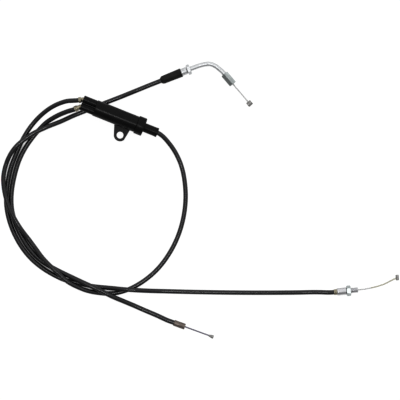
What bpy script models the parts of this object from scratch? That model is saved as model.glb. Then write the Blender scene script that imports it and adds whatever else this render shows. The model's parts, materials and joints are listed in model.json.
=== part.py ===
"""Throttle cable set of a two-stroke motorcycle: one sheathed cable into two through a junction box.

The set lies flat on a surface at z = 0, in metres, +Z up. The junction box is at the upper left, the
elbow for the twist grip at the top, the oil pump's end at the lower right and the carburettor's end at
the bottom. Each fitting is drawn along the X axis of its own frame, which an empty holds, and its
outlines give millimetres: the position along that axis, and the radius.
"""
import math

import bmesh
import bpy
from mathutils import Matrix, Vector

MM = 0.001

# Driving dimensions, in millimetres
GAP = 0.3                      # clearance between two pieces that touch
SHEATH_RADIUS = 2.5            # throttle and pump sheaths
CARB_SHEATH_RADIUS = 2.6
WIRE_RADIUS = 0.75             # inner wires
WIRE_HOLE = 1.1                # radius of the hole that a wire runs through
STROKE = 15.0                  # pull of the inner wires
BODY_RADIUS = 9.0              # junction box
BODY_START = 15.4
BODY_END = 71.0
CHAMBER_RADIUS = 7.2
CHAMBER_START = 17.4
CAP_SEAT_RADIUS = 8.4
CAP_RADIUS = 10.1
CAP_START = 64.4
CAP_END = 73.3
NECK_RADIUS = 5.0
NECK_END = 89.2
PORT_RADIUS = 4.2
PORT_OFFSET = 4.15             # each port's axis from the box's axis
PORT_BORE = 3.2
PORT_BORE_END = 12.0
LUG_THICKNESS = 3.0
EYE_CENTRE = (52.1, -17.6)     # along the box, and across it
EYE_RADIUS = 6.8
EYE_HOLE_RADIUS = 3.85
SLIDER_START = 24.0
SLIDER_END = 38.0
SLIDER_RADIUS = 6.8
NIPPLE_LENGTH = 4.0
THREAD_RADIUS = 3.0            # M6 threads of both adjusters
NUT_ACROSS_FLATS = 10.0
NUT_THICKNESS = 3.6
PUMP_NUT_THICKNESS = 4.5
BARREL_RADIUS = 4.0
PIPE_RADIUS = 2.5
PIPE_BORE = 1.5
UNION_ACROSS_FLATS = 8.0
UNION_LENGTH = 14.5
UNION_CAVITY = 3.4
UNION_TURN = 35.0             # degrees from a flat at the top

# Fineness of the turned and drawn shapes
TURN_STEPS = 24
SMALL_STEPS = 16
HEXAGON = 6
WIRE_BEVEL = 2
PIPE_BEVEL = 4
ROUTE_TOLERANCE = 0.2          # most that a tube's straight pieces may leave its curve, in millimetres
LONGEST_PIECE = 40.0           # longest straight piece of a tube
CURVE_READINGS = 24            # readings of the smooth curve between two route points
MERGE = 0.000001
SHARP_ANGLE = math.radians(35)

# Frames of the fittings: origin in metres, heading of the X axis from +X, and its dive below level
FRAMES = {
    "box": ((-0.1702, 0.1067, 0.01533), -21.65, 4.14),
    "pump_port": ((-0.1689, 0.1101, 0.0154), 189.0, 3.4),
    "carb_port": ((-0.1719, 0.1022, 0.0154), 203.7, 5.7),
    "throttle": ((-0.0549, 0.1428, 0.0050), 21.8, 0.0),
    "union": ((-0.0047, 0.1276, 0.0050), -49.5, 0.0),
    "pump": ((0.1098, -0.1011, 0.0050), 5.5, 0.0),
    "carb": ((-0.0575, -0.1395, 0.00335), -20.05, 0.0),
}

# Routes of the sheaths between their straight ends, in metres. They cross each other at the left and at
# the bottom, where the one on top rises over the other.
THROTTLE_ROUTE = [
    (-0.0737, 0.0608, 0.0056), (-0.0636, 0.0434, 0.0032), (-0.0569, 0.0110, 0.0026),
    (-0.0684, -0.0473, 0.0026), (-0.0914, -0.0798, 0.0026), (-0.1152, -0.0964, 0.0026),
    (-0.1218, -0.0993, 0.0026), (-0.1432, -0.1031, 0.0026), (-0.1504, -0.1025, 0.0028),
    (-0.1647, -0.0998, 0.0052), (-0.1735, -0.0965, 0.0063), (-0.1878, -0.0886, 0.0080),
    (-0.1933, -0.0836, 0.0080), (-0.2144, -0.0631, 0.0070), (-0.2237, -0.0508, 0.0040),
    (-0.2287, -0.0441, 0.0040), (-0.2385, -0.0308, 0.0072), (-0.2519, -0.0050, 0.0079),
    (-0.2567, 0.0160, 0.0070), (-0.2572, 0.0237, 0.0056), (-0.2545, 0.0387, 0.0044),
    (-0.2514, 0.0464, 0.0059), (-0.2409, 0.0609, 0.0079), (-0.2336, 0.0667, 0.0079),
    (-0.2257, 0.0722, 0.0079), (-0.2114, 0.0792, 0.0082), (-0.1927, 0.0870, 0.0046),
    (-0.1817, 0.0922, 0.0031), (-0.1680, 0.0978, 0.0026), (-0.1443, 0.1073, 0.0026),
    (-0.1311, 0.1124, 0.0026),
]
PUMP_ROUTE = [
    (-0.1801, 0.1089, 0.0141), (-0.1856, 0.1086, 0.0131), (-0.1944, 0.1063, 0.0107),
    (-0.2263, 0.0821, 0.0027), (-0.2318, 0.0742, 0.0026), (-0.2442, 0.0490, 0.0026),
    (-0.2476, 0.0402, 0.0026), (-0.2522, 0.0220, 0.0026), (-0.2541, -0.0055, 0.0026),
    (-0.2265, -0.0649, 0.0026), (-0.1993, -0.0839, 0.0026), (-0.1900, -0.0880, 0.0026),
    (-0.1795, -0.0902, 0.0026), (-0.1685, -0.0931, 0.0026), (-0.1592, -0.0949, 0.0026),
    (-0.1438, -0.0965, 0.0031), (-0.1361, -0.0971, 0.0050), (-0.1289, -0.0978, 0.0070),
    (-0.1135, -0.0990, 0.0076), (-0.1036, -0.0996, 0.0056), (-0.0926, -0.1001, 0.0036),
    (-0.0783, -0.1005, 0.0026), (-0.0464, -0.1013, 0.0026), (0.0504, -0.1020, 0.0026),
    (0.0691, -0.1018, 0.0026), (0.0812, -0.1015, 0.0031), (0.0927, -0.1015, 0.0044),
    (0.0985, -0.1017, 0.0049),
]
CARB_ROUTE = [
    (-0.1845, 0.0976, 0.0129), (-0.1988, 0.0920, 0.0080), (-0.2114, 0.0840, 0.0035),
    (-0.2166, 0.0789, 0.0026), (-0.2213, 0.0737, 0.0026), (-0.2385, 0.0473, 0.0026),
    (-0.2443, 0.0303, 0.0026), (-0.2475, -0.0134, 0.0026), (-0.2426, -0.0292, 0.0026),
    (-0.2145, -0.0676, 0.0026), (-0.2065, -0.0727, 0.0026), (-0.1982, -0.0772, 0.0028),
    (-0.1900, -0.0812, 0.0042), (-0.1817, -0.0850, 0.0064), (-0.1729, -0.0891, 0.0077),
    (-0.1542, -0.0977, 0.0081), (-0.1443, -0.1026, 0.0081), (-0.1350, -0.1071, 0.0070),
    (-0.1256, -0.1111, 0.0049), (-0.1146, -0.1158, 0.0032), (-0.1014, -0.1216, 0.0027),
    (-0.0882, -0.1272, 0.0028),
]
PIPE_ROUTE = [
    (-0.0464, 0.1461, 0.0050), (-0.0409, 0.1480, 0.0050), (-0.0354, 0.1493, 0.0050),
    (-0.0299, 0.1496, 0.0050), (-0.0244, 0.1476, 0.0050), (-0.0196, 0.1440, 0.0050),
]
PUMP_WIRE_ROUTE = [
    (0.1395, -0.0981, 0.0050), (0.1472, -0.0967, 0.0050), (0.1549, -0.0948, 0.0050),
    (0.1626, -0.0921, 0.0050), (0.1681, -0.0893, 0.0050),
]
PUMP_NIPPLE_CENTRE = Vector((0.1761, -0.0853, 0.0050))
PUMP_NIPPLE_HEADING = 5.0     # degrees; its axis is level and square to this

# Colour, roughness and metallic value of each finish
FINISHES = {
    "black_plastic": ((0.022, 0.022, 0.024), 0.42, 0.0),
    "sheath_black": ((0.016, 0.016, 0.018), 0.38, 0.0),
    "rubber": ((0.014, 0.014, 0.012), 0.75, 0.0),
    "bright_zinc": ((0.74, 0.75, 0.75), 0.28, 1.0),
    "grey_zinc": ((0.42, 0.46, 0.45), 0.38, 1.0),
    "cream_zinc": ((0.72, 0.69, 0.56), 0.40, 1.0),
    "brown_zinc": ((0.32, 0.27, 0.25), 0.45, 1.0),
    "wire_steel": ((0.50, 0.50, 0.48), 0.35, 1.0),
    "cast_zinc": ((0.36, 0.36, 0.37), 0.45, 1.0),
    "white_nylon": ((0.70, 0.70, 0.66), 0.50, 0.0),
}


def clear_scene():
    for old in list(bpy.data.objects):
        bpy.data.objects.remove(old, do_unlink=True)


def new_collection(name):
    collection = bpy.data.collections.new(name)
    bpy.context.scene.collection.children.link(collection)
    return collection


def make_material(name):
    colour, roughness, metallic = FINISHES[name]
    material = bpy.data.materials.new(name)
    material.use_nodes = True
    shader = material.node_tree.nodes["Principled BSDF"]
    shader.inputs["Base Color"].default_value = (*colour, 1.0)
    shader.inputs["Roughness"].default_value = roughness
    shader.inputs["Metallic"].default_value = metallic
    material.diffuse_color = (*colour, 1.0)
    return material


def frame_matrix(name):
    """Place of a fitting's frame: its X axis has the heading, and dives below level."""
    origin, heading, dive = FRAMES[name]
    turn = Matrix.Rotation(math.radians(heading), 4, "Z")
    nose_down = Matrix.Rotation(math.radians(dive), 4, "Y")
    return Matrix.Translation(origin) @ turn @ nose_down


def frame_point(name, along, across=0.0, up=0.0):
    """World point, in metres, of a place given in millimetres in a fitting's frame."""
    return frame_matrix(name) @ (Vector((along, across, up)) * MM)


clear_scene()
PARTS = new_collection("throttle_cable_set")
CUTTERS = new_collection("cutters")
MATERIALS = {name: make_material(name) for name in FINISHES}
EMPTIES = {}
for frame_name in FRAMES:
    empty = bpy.data.objects.new(f"{frame_name}_frame", None)
    empty.matrix_world = frame_matrix(frame_name)
    empty.empty_display_size = 0.01
    PARTS.objects.link(empty)
    EMPTIES[frame_name] = empty


def add_object(name, data, finish=None, frame=None, local=Matrix()):
    """Put data in the scene, as a part with a finish or, with none, as a cutter."""
    made = bpy.data.objects.new(name, data)
    if finish:
        PARTS.objects.link(made)
        data.materials.append(MATERIALS[finish])
    else:
        CUTTERS.objects.link(made)
        made.hide_render = True
        made.display_type = "WIRE"
    if frame:
        made.parent = EMPTIES[frame]
    made.matrix_local = local
    return made


def tidy_mesh(mesh):
    """Weld a mesh's seams, turn its faces outwards and shade it smooth up to its sharp edges."""
    work = bmesh.new()
    work.from_mesh(mesh)
    bmesh.ops.remove_doubles(work, verts=work.verts, dist=MERGE)
    bmesh.ops.recalc_face_normals(work, faces=work.faces)
    work.to_mesh(mesh)
    work.free()
    mesh.shade_smooth()
    mesh.set_sharp_from_angle(angle=SHARP_ANGLE)


def evaluated_mesh(source):
    """The mesh of an object after its modifiers, or of a curve."""
    bpy.context.view_layer.update()
    graph = bpy.context.evaluated_depsgraph_get()
    mesh = bpy.data.meshes.new_from_object(source.evaluated_get(graph))
    tidy_mesh(mesh)
    return mesh


def turned(name, outline, frame, finish=None, closed=True, steps=TURN_STEPS, across=0.0):
    """Turn an outline of (position, radius), outer side first from its far end, about the frame's X axis."""
    profile = bpy.data.meshes.new(name)
    count = len(outline)
    corners = [(radius * MM, 0.0, position * MM) for position, radius in outline]
    edges = [(i, (i + 1) % count) for i in range(count if closed else count - 1)]
    profile.from_pydata(corners, edges, [])
    sketch = bpy.data.objects.new(name + "_profile", profile)
    PARTS.objects.link(sketch)
    screw = sketch.modifiers.new("turn", "SCREW")
    screw.axis = "Z"
    screw.angle = 2 * math.pi
    screw.steps = steps
    screw.render_steps = steps
    screw.use_merge_vertices = True
    screw.merge_threshold = MERGE
    mesh = evaluated_mesh(sketch)
    bpy.data.objects.remove(sketch, do_unlink=True)
    mesh.name = name
    lay_down = Matrix.Translation((0.0, across * MM, 0.0)) @ Matrix.Rotation(math.pi / 2, 4, "Y")
    return add_object(name, mesh, finish, frame, lay_down)


def rod(name, start, end, radius, frame, finish=None, steps=SMALL_STEPS, across=0.0):
    """A plain cylinder from start to end along the frame's X axis."""
    work = bmesh.new()
    bmesh.ops.create_cone(work, cap_ends=True, segments=steps, radius1=radius * MM, radius2=radius * MM,
                          depth=(end - start) * MM)
    mesh = bpy.data.meshes.new(name)
    work.to_mesh(mesh)
    work.free()
    tidy_mesh(mesh)
    middle = (start + end) / 2 * MM
    place = Matrix.Translation((middle, across * MM, 0.0)) @ Matrix.Rotation(math.pi / 2, 4, "Y")
    return add_object(name, mesh, finish, frame, place)


def hexagon_bar(name, start, end, across_flats, frame, finish, turn=0.0):
    """A hexagonal bar along the frame's X axis, with a flat at its top that is then turned by some degrees."""
    corner_radius = across_flats / math.sqrt(3)
    work = bmesh.new()
    bmesh.ops.create_cone(work, cap_ends=True, segments=HEXAGON, radius1=corner_radius * MM,
                          radius2=corner_radius * MM, depth=(end - start) * MM)
    quarter = Matrix.Rotation(math.pi / 2, 4, "Z")
    bmesh.ops.transform(work, matrix=quarter, verts=work.verts)
    if max(abs(corner.co.x) for corner in work.verts) > across_flats / 2 * MM + MERGE:
        bmesh.ops.transform(work, matrix=Matrix.Rotation(math.pi / HEXAGON, 4, "Z"), verts=work.verts)
    middle = Matrix.Translation((0.0, 0.0, (start + end) / 2 * MM))
    bmesh.ops.transform(work, matrix=middle, verts=work.verts)
    mesh = bpy.data.meshes.new(name)
    work.to_mesh(mesh)
    work.free()
    tidy_mesh(mesh)
    lie_down = Matrix.Rotation(math.radians(turn), 4, "X") @ Matrix.Rotation(math.pi / 2, 4, "Y")
    return add_object(name, mesh, finish, frame, lie_down)


def boolean(target, operation, tool):
    change = target.modifiers.new(tool.name, "BOOLEAN")
    change.operation = operation
    change.solver = "EXACT"
    change.object = tool


def hermite(start, end, start_slope, end_slope, share):
    """Point of a cubic curve between two points with given slopes, at a share of the way."""
    square, cube = share ** 2, share ** 3
    return (start * (2 * cube - 3 * square + 1) + start_slope * (cube - 2 * square + share)
            + end * (3 * square - 2 * cube) + end_slope * (cube - square))


def smooth_curve(points):
    """Closely spaced points, in metres, of a smooth curve through the route's points."""
    points = [Vector(point) for point in points]
    spans = [(after - before).length for before, after in zip(points, points[1:])]
    slopes = [(points[1] - points[0]) / spans[0]]
    for i in range(1, len(points) - 1):
        before = (points[i] - points[i - 1]) / spans[i - 1]
        after = (points[i + 1] - points[i]) / spans[i]
        slopes.append((before * spans[i] + after * spans[i - 1]) / (spans[i] + spans[i - 1]))
    slopes.append((points[-1] - points[-2]) / spans[-1])
    curve = []
    for i, span in enumerate(spans):
        for k in range(CURVE_READINGS):
            curve.append(hermite(points[i], points[i + 1], slopes[i] * span, slopes[i + 1] * span,
                                 k / CURVE_READINGS))
    curve.append(points[-1])
    return curve


def leaves_chord(curve, first, last):
    """Most that the curve between two of its points leaves the straight line between them."""
    chord = (curve[last] - curve[first]).normalized()
    return max(((point - curve[first]).cross(chord).length for point in curve[first + 1:last]), default=0.0)


def read_route(points, lowest=0.0):
    """Points for a tube along a route: as few as keep to the curve, and none below the lowest height."""
    curve = smooth_curve(points)
    for point in curve:
        point.z = max(point.z, lowest)
    kept = [curve[0]]
    first = 0
    while first < len(curve) - 1:
        last = first + 1
        while (last + 1 < len(curve)
               and leaves_chord(curve, first, last + 1) < ROUTE_TOLERANCE * MM
               and (curve[last + 1] - curve[first]).length < LONGEST_PIECE * MM):
            last += 1
        kept.append(curve[last])
        first = last
    return kept


def tube(name, points, radius, finish=None, bevel=WIRE_BEVEL):
    """A solid tube through world points, as a welded mesh."""
    line = bpy.data.curves.new(name + "_line", "CURVE")
    line.dimensions = "3D"
    line.bevel_depth = radius * MM
    line.bevel_resolution = bevel
    line.use_fill_caps = True
    spline = line.splines.new("POLY")
    spline.points.add(len(points) - 1)
    for place, point in zip(spline.points, points):
        place.co = (*point, 1.0)
    sketch = bpy.data.objects.new(name + "_line", line)
    PARTS.objects.link(sketch)
    mesh = evaluated_mesh(sketch)
    bpy.data.objects.remove(sketch, do_unlink=True)
    mesh.name = name
    return add_object(name, mesh, finish)


def plate(name, outlines, thickness, height, frame):
    """A flat plate from closed outlines in the frame's XY plane; an outline inside another is a hole."""
    flat = bpy.data.curves.new(name + "_outline", "CURVE")
    flat.dimensions = "2D"
    flat.fill_mode = "BOTH"
    flat.extrude = thickness / 2 * MM
    for outline in outlines:
        spline = flat.splines.new("POLY")
        spline.points.add(len(outline) - 1)
        spline.use_cyclic_u = True
        for place, (along, across) in zip(spline.points, outline):
            place.co = (along * MM, across * MM, 0.0, 1.0)
    sketch = bpy.data.objects.new(name + "_outline", flat)
    PARTS.objects.link(sketch)
    mesh = evaluated_mesh(sketch)
    bpy.data.objects.remove(sketch, do_unlink=True)
    return add_object(name, mesh, None, frame, Matrix.Translation((0.0, 0.0, height * MM)))


def arc(centre, radius, start, end, steps):
    """Points of an arc between two angles in radians."""
    angles = [start + (end - start) * i / steps for i in range(steps + 1)]
    return [(centre[0] + radius * math.cos(a), centre[1] + radius * math.sin(a)) for a in angles]


# Junction box

def lug_outlines():
    """The lug's plate: two straight sides that touch the eye's round end, and the eye's hole."""
    left_side = math.radians(180 + 21.65)    # where the left side touches the eye, square to it
    right_side = math.radians(360 - 29.0)
    root_left, root_right, root_across = 40.2, 60.9, -4.0
    outline = [(root_right, root_across), (root_left, root_across)]
    outline += arc(EYE_CENTRE, EYE_RADIUS, left_side, right_side, 14)
    hole = arc(EYE_CENTRE, EYE_HOLE_RADIUS, 0.0, 2 * math.pi, 24)[:-1]
    return outline, hole


def make_box_body():
    outline = [
        (CHAMBER_START, 0.0), (CHAMBER_START, CHAMBER_RADIUS), (BODY_END, CHAMBER_RADIUS),
        (BODY_END, CAP_SEAT_RADIUS), (CAP_START - GAP, CAP_SEAT_RADIUS), (CAP_START - GAP, BODY_RADIUS),
        (BODY_START + 0.6, BODY_RADIUS), (BODY_START, BODY_RADIUS - 0.6), (BODY_START, 0.0),
    ]
    body = turned("box_body", outline, "box", "black_plastic", closed=False, steps=32)
    wall_overlap = 1.0
    for name, side in (("pump", 1), ("carb", -1)):
        across = side * PORT_OFFSET
        port = rod(f"{name}_port", 0.0, BODY_START + wall_overlap, PORT_RADIUS, "box", across=across,
                   steps=TURN_STEPS)
        boolean(body, "UNION", port)
    web = bmesh.new()
    bmesh.ops.create_cube(web, size=1.0)
    bmesh.ops.scale(web, vec=Vector((15.4, 3.0, 4.0)) * MM, verts=web.verts)
    web_mesh = bpy.data.meshes.new("port_web")
    web.to_mesh(web_mesh)
    web.free()
    boolean(body, "UNION", add_object("port_web", web_mesh, None, "box", Matrix.Translation((0.0082, 0, 0))))
    lug = plate("lug", lug_outlines(), LUG_THICKNESS, LUG_THICKNESS / 2 - BODY_RADIUS, "box")
    boolean(body, "UNION", lug)
    mouth = PORT_BORE + 0.6
    bore_outline = [
        (CHAMBER_START + 1.0, 0.0), (CHAMBER_START + 1.0, WIRE_HOLE + GAP), (PORT_BORE_END, WIRE_HOLE + GAP),
        (PORT_BORE_END, PORT_BORE), (3.0, PORT_BORE), (-0.6, mouth + 0.12), (-0.6, 0.0),
    ]
    for name, side in (("pump", 1), ("carb", -1)):
        bore = turned(f"{name}_port_bore", bore_outline, "box", closed=False, across=side * PORT_OFFSET)
        boolean(body, "DIFFERENCE", bore)


def make_box_cap():
    bore = SHEATH_RADIUS + 1.1
    outline = [
        (NECK_END, NECK_RADIUS - 0.3), (NECK_END - 0.3, NECK_RADIUS + 0.2),
        (NECK_END - 1.8, NECK_RADIUS + 0.2), (NECK_END - 2.0, NECK_RADIUS), (CAP_END, NECK_RADIUS),
        (CAP_END, CAP_RADIUS - 0.6), (CAP_END - 0.6, CAP_RADIUS), (CAP_START + 0.6, CAP_RADIUS),
        (CAP_START, CAP_RADIUS - 0.6), (CAP_START, CAP_SEAT_RADIUS + GAP),
        (BODY_END + GAP, CAP_SEAT_RADIUS + GAP), (BODY_END + GAP, WIRE_HOLE + GAP),
        (77.1, WIRE_HOLE + GAP), (77.1, bore), (NECK_END, bore),
    ]
    turned("box_cap", outline, "box", "black_plastic", steps=32)


def make_slider():
    slider = rod("slider", SLIDER_START, SLIDER_END, SLIDER_RADIUS, "box", "white_nylon", steps=TURN_STEPS)
    pocket = NIPPLE_LENGTH + 2 * GAP
    centre_hole = turned("slider_centre_hole", [
        (SLIDER_END + 1, 0.0), (SLIDER_END + 1, WIRE_HOLE), (SLIDER_START + pocket, WIRE_HOLE),
        (SLIDER_START + pocket, 2.3), (SLIDER_START - 1, 2.3), (SLIDER_START - 1, 0.0),
    ], "box", closed=False, steps=SMALL_STEPS)
    boolean(slider, "DIFFERENCE", centre_hole)
    for name, side in (("pump", 1), ("carb", -1)):
        side_hole = turned(f"slider_{name}_hole", [
            (SLIDER_END + 1, 0.0), (SLIDER_END + 1, 1.9), (SLIDER_END - pocket, 1.9),
            (SLIDER_END - pocket, WIRE_HOLE), (SLIDER_START - 1, WIRE_HOLE), (SLIDER_START - 1, 0.0),
        ], "box", closed=False, steps=SMALL_STEPS, across=side * PORT_OFFSET)
        boolean(slider, "DIFFERENCE", side_hole)
    rod("slider_throttle_nipple", SLIDER_START + GAP, SLIDER_START + GAP + NIPPLE_LENGTH, 2.0, "box",
        "cast_zinc")
    rod("slider_throttle_wire", SLIDER_START + pocket, 72.0, WIRE_RADIUS, "box", "wire_steel", steps=8)
    for name, side in (("pump", 1), ("carb", -1)):
        across = side * PORT_OFFSET
        rod(f"slider_{name}_nipple", SLIDER_END - GAP - NIPPLE_LENGTH, SLIDER_END - GAP, 1.6, "box",
            "cast_zinc", across=across)
        rod(f"slider_{name}_wire", 3.4, SLIDER_END - pocket, WIRE_RADIUS, "box", "wire_steel", steps=8,
            across=across)


def make_neck_ferrule():
    turned("neck_ferrule", [
        (88.2, 3.3), (77.4, 3.3), (77.4, WIRE_HOLE), (78.6, WIRE_HOLE), (78.6, SHEATH_RADIUS + GAP),
        (88.2, SHEATH_RADIUS + GAP),
    ], "box", "cream_zinc")


def make_port_ferrule(name, frame, body_start, body_end, sheath_radius):
    """A sleeve with a ball nose that sits in the port's mouth, and the sheath's end in its other end."""
    ball = 2.4
    waist = 1.8
    outer = sheath_radius + GAP + 0.4
    waist_position = math.sqrt(ball ** 2 - waist ** 2)
    nose = [(position, radius) for position, radius in arc((0.0, 0.0), ball, math.acos(waist_position / ball),
                                                            math.radians(150), 5)]
    turned(name, [
        (body_end, outer), (body_start, outer), (body_start - 0.3, waist), *nose,
        (nose[-1][0], WIRE_HOLE), (body_start + 0.7, WIRE_HOLE), (body_start + 0.7, sheath_radius + GAP),
        (body_end, sheath_radius + GAP),
    ], frame, "cream_zinc")


# Throttle end

def make_throttle_end():
    turned("throttle_end_ferrule", [
        (-9.7, 3.2), (-18.5, 3.2), (-18.5, SHEATH_RADIUS + GAP), (-10.7, SHEATH_RADIUS + GAP),
        (-10.7, WIRE_HOLE), (-9.7, WIRE_HOLE),
    ], "throttle", "cream_zinc")
    turned("adjuster_barrel", [
        (-0.6, 3.6), (-1.1, BARREL_RADIUS), (-20.5, BARREL_RADIUS), (-21.0, 3.7), (-21.0, 3.5), (-9.4, 3.5),
        (-9.4, WIRE_HOLE + GAP), (-8.7, WIRE_HOLE + GAP), (-8.7, THREAD_RADIUS + GAP),
        (-0.6, THREAD_RADIUS + GAP),
    ], "throttle", "bright_zinc")
    turned("rubber_boot", [
        (-6.9, 4.5), (-7.6, 4.85), (-9.0, 4.85), (-28.6, 4.45), (-30.4, 3.9), (-31.2, 3.3),
        (-31.2, SHEATH_RADIUS + GAP), (-21.4, SHEATH_RADIUS + GAP), (-21.4, BARREL_RADIUS + GAP),
        (-6.9, BARREL_RADIUS + GAP),
    ], "throttle", "rubber")
    nut = hexagon_bar("adjuster_lock_nut", 0.0, NUT_THICKNESS, NUT_ACROSS_FLATS, "throttle", "bright_zinc")
    boolean(nut, "DIFFERENCE", rod("lock_nut_bore", -1.0, NUT_THICKNESS + 1.0, THREAD_RADIUS + GAP,
                                   "throttle", steps=TURN_STEPS))


def make_elbow():
    thread_start, thread_end = -8.4, NUT_THICKNESS + 0.3
    pipe_start, pipe_end = -7.9, -10.7
    route = [frame_point("throttle", along) for along in (pipe_start, 0.0, thread_end)]
    route += [Vector(point) for point in PIPE_ROUTE]
    route += [frame_point("union", along) for along in (-18.0, -14.5, pipe_end)]
    pipe = tube("elbow_pipe", read_route(route), PIPE_RADIUS, "bright_zinc", PIPE_BEVEL)
    thread = rod("elbow_thread", thread_start, thread_end, THREAD_RADIUS, "throttle", steps=TURN_STEPS)
    collar = rod("elbow_collar", -12.2, pipe_end + 0.2, UNION_CAVITY - GAP, "union", steps=TURN_STEPS)
    boolean(pipe, "UNION", thread)
    boolean(pipe, "UNION", collar)
    bore_route = [frame_point("throttle", thread_start - 2.0)] + route[1:-1]
    bore_route.append(frame_point("union", pipe_end + 2.0))
    boolean(pipe, "DIFFERENCE", tube("elbow_bore", read_route(bore_route), PIPE_BORE, None, WIRE_BEVEL))


def make_union_nut():
    nut = hexagon_bar("union_nut", -UNION_LENGTH, 0.0, UNION_ACROSS_FLATS, "union", "grey_zinc", UNION_TURN)
    bore = turned("union_bore", [
        (1.0, 0.0), (1.0, UNION_CAVITY), (-12.5, UNION_CAVITY), (-12.5, PIPE_RADIUS + GAP),
        (-UNION_LENGTH - 1.0, PIPE_RADIUS + GAP), (-UNION_LENGTH - 1.0, 0.0),
    ], "union", closed=False)
    boolean(nut, "DIFFERENCE", bore)


def make_throttle_wire():
    nipple_centre, nipple_radius, nipple_width = 28.2, 2.7, 5.4
    tail_start = -1.5 - STROKE
    rod("throttle_wire", tail_start, nipple_centre - nipple_radius - GAP, WIRE_RADIUS, "union", "wire_steel",
        steps=8)
    barrel_nipple("throttle_nipple", frame_matrix("union") @ Matrix.Translation((nipple_centre * MM, 0, 0)),
                  nipple_radius, nipple_width)


def barrel_nipple(name, place, radius, width):
    """A barrel across the wire: its axis is the Y axis of its place."""
    work = bmesh.new()
    bmesh.ops.create_cone(work, cap_ends=True, segments=TURN_STEPS, radius1=radius * MM, radius2=radius * MM,
                          depth=width * MM)
    mesh = bpy.data.meshes.new(name)
    work.to_mesh(mesh)
    work.free()
    tidy_mesh(mesh)
    nipple = add_object(name, mesh, "cast_zinc")
    nipple.matrix_world = place @ Matrix.Rotation(math.pi / 2, 4, "X")


# Oil pump end

def make_pump_end():
    turned("pump_end_ferrule", [
        (7.4, 3.1), (-3.4, 3.1), (-3.4, SHEATH_RADIUS + GAP), (6.4, SHEATH_RADIUS + GAP), (6.4, WIRE_HOLE),
        (7.4, WIRE_HOLE),
    ], "pump", "cream_zinc")
    turned("pump_adjuster", [
        (23.2, 2.5), (22.7, THREAD_RADIUS), (10.3, THREAD_RADIUS), (10.3, BARREL_RADIUS),
        (0.9, BARREL_RADIUS), (0.0, 3.6), (0.0, 3.4), (7.7, 3.4), (7.7, WIRE_HOLE + 0.2),
        (23.2, WIRE_HOLE + 0.2),
    ], "pump", "bright_zinc")
    nut_start = 10.6
    nut_end = nut_start + PUMP_NUT_THICKNESS
    nut = hexagon_bar("pump_lock_nut", nut_start, nut_end, NUT_ACROSS_FLATS, "pump", "grey_zinc")
    boolean(nut, "DIFFERENCE", rod("pump_nut_bore", nut_start - 1.0, nut_end + 1.0, THREAD_RADIUS + GAP, "pump",
                                   steps=TURN_STEPS))


def make_pump_wire():
    nipple_radius, nipple_width = 1.7, 6.0
    before_nipple = Vector(PUMP_WIRE_ROUTE[-1])
    direction = (PUMP_NIPPLE_CENTRE - before_nipple).normalized()
    heading = math.radians(PUMP_NIPPLE_HEADING)
    slant = math.atan2(direction.y, direction.x) - heading
    stand_off = (nipple_radius + GAP + WIRE_RADIUS * math.sin(slant)) / math.cos(slant)
    wire_end = PUMP_NIPPLE_CENTRE - direction * stand_off * MM
    route = [frame_point("pump", along) for along in (19.0, 22.0)]
    route += [Vector(point) for point in PUMP_WIRE_ROUTE] + [wire_end]
    tube("pump_wire", read_route(route), WIRE_RADIUS, "wire_steel")
    place = Matrix.Translation(PUMP_NIPPLE_CENTRE) @ Matrix.Rotation(heading, 4, "Z")
    barrel_nipple("pump_nipple", place, nipple_radius, nipple_width)


# Carburettor end

def make_carb_end():
    turned("carb_end_ferrule", [
        (0.0, 3.1), (-0.3, 3.3), (-12.8, 3.3), (-12.8, CARB_SHEATH_RADIUS + GAP),
        (-5.5, CARB_SHEATH_RADIUS + GAP), (-5.5, WIRE_HOLE), (0.0, WIRE_HOLE),
    ], "carb", "brown_zinc")
    rod("carb_wire", -1.5, 27.6, WIRE_RADIUS, "carb", "wire_steel", steps=8)
    turned("carb_nipple", [
        (33.4, 0.0), (33.4, 1.85), (31.4, 1.85), (27.9, 1.0), (27.9, 0.0),
    ], "carb", "cast_zinc", closed=False, steps=SMALL_STEPS)


# Sheaths

def make_sheaths():
    """The three sheaths. Two have a blind hole in one end, where a wire's tail slides in."""
    rest = 0.05
    throttle = [frame_point("box", along) for along in (78.9, 84.0, 90.5)]
    throttle += [Vector(point) for point in THROTTLE_ROUTE]
    throttle += [frame_point("throttle", along) for along in (-56.0, -44.0, -32.0, -20.0, -11.0)]
    throttle_sheath = tube("throttle_sheath", read_route(throttle, (SHEATH_RADIUS + rest) * MM), SHEATH_RADIUS,
                           "sheath_black")
    neck_bore = rod("throttle_sheath_bore", 77.9, 88.0, WIRE_HOLE, "box")
    boolean(throttle_sheath, "DIFFERENCE", neck_bore)

    pump = [frame_point("pump_port", along) for along in (3.4, 6.0)]
    pump += [Vector(point) for point in PUMP_ROUTE]
    pump += [frame_point("pump", along) for along in (-5.5, -3.0, 6.1)]
    tube("pump_sheath", read_route(pump, (SHEATH_RADIUS + rest) * MM), SHEATH_RADIUS, "sheath_black")

    carb = [frame_point("carb_port", along) for along in (4.7, 7.6)]
    carb += [Vector(point) for point in CARB_ROUTE]
    carb += [frame_point("carb", along) for along in (-20.0, -13.0, -5.8)]
    carb_sheath = tube("carb_sheath", read_route(carb, (CARB_SHEATH_RADIUS + rest) * MM), CARB_SHEATH_RADIUS,
                       "sheath_black")
    boolean(carb_sheath, "DIFFERENCE", rod("carb_sheath_bore", -17.5, -4.8, WIRE_HOLE, "carb"))


make_box_body()
make_box_cap()
make_slider()
make_neck_ferrule()
make_port_ferrule("pump_port_ferrule", "pump_port", 2.5, 5.0, SHEATH_RADIUS)
make_port_ferrule("carb_port_ferrule", "carb_port", 3.8, 6.85, CARB_SHEATH_RADIUS)
make_throttle_end()
make_elbow()
make_union_nut()
make_throttle_wire()
make_pump_end()
make_pump_wire()
make_carb_end()
make_sheaths()
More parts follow.
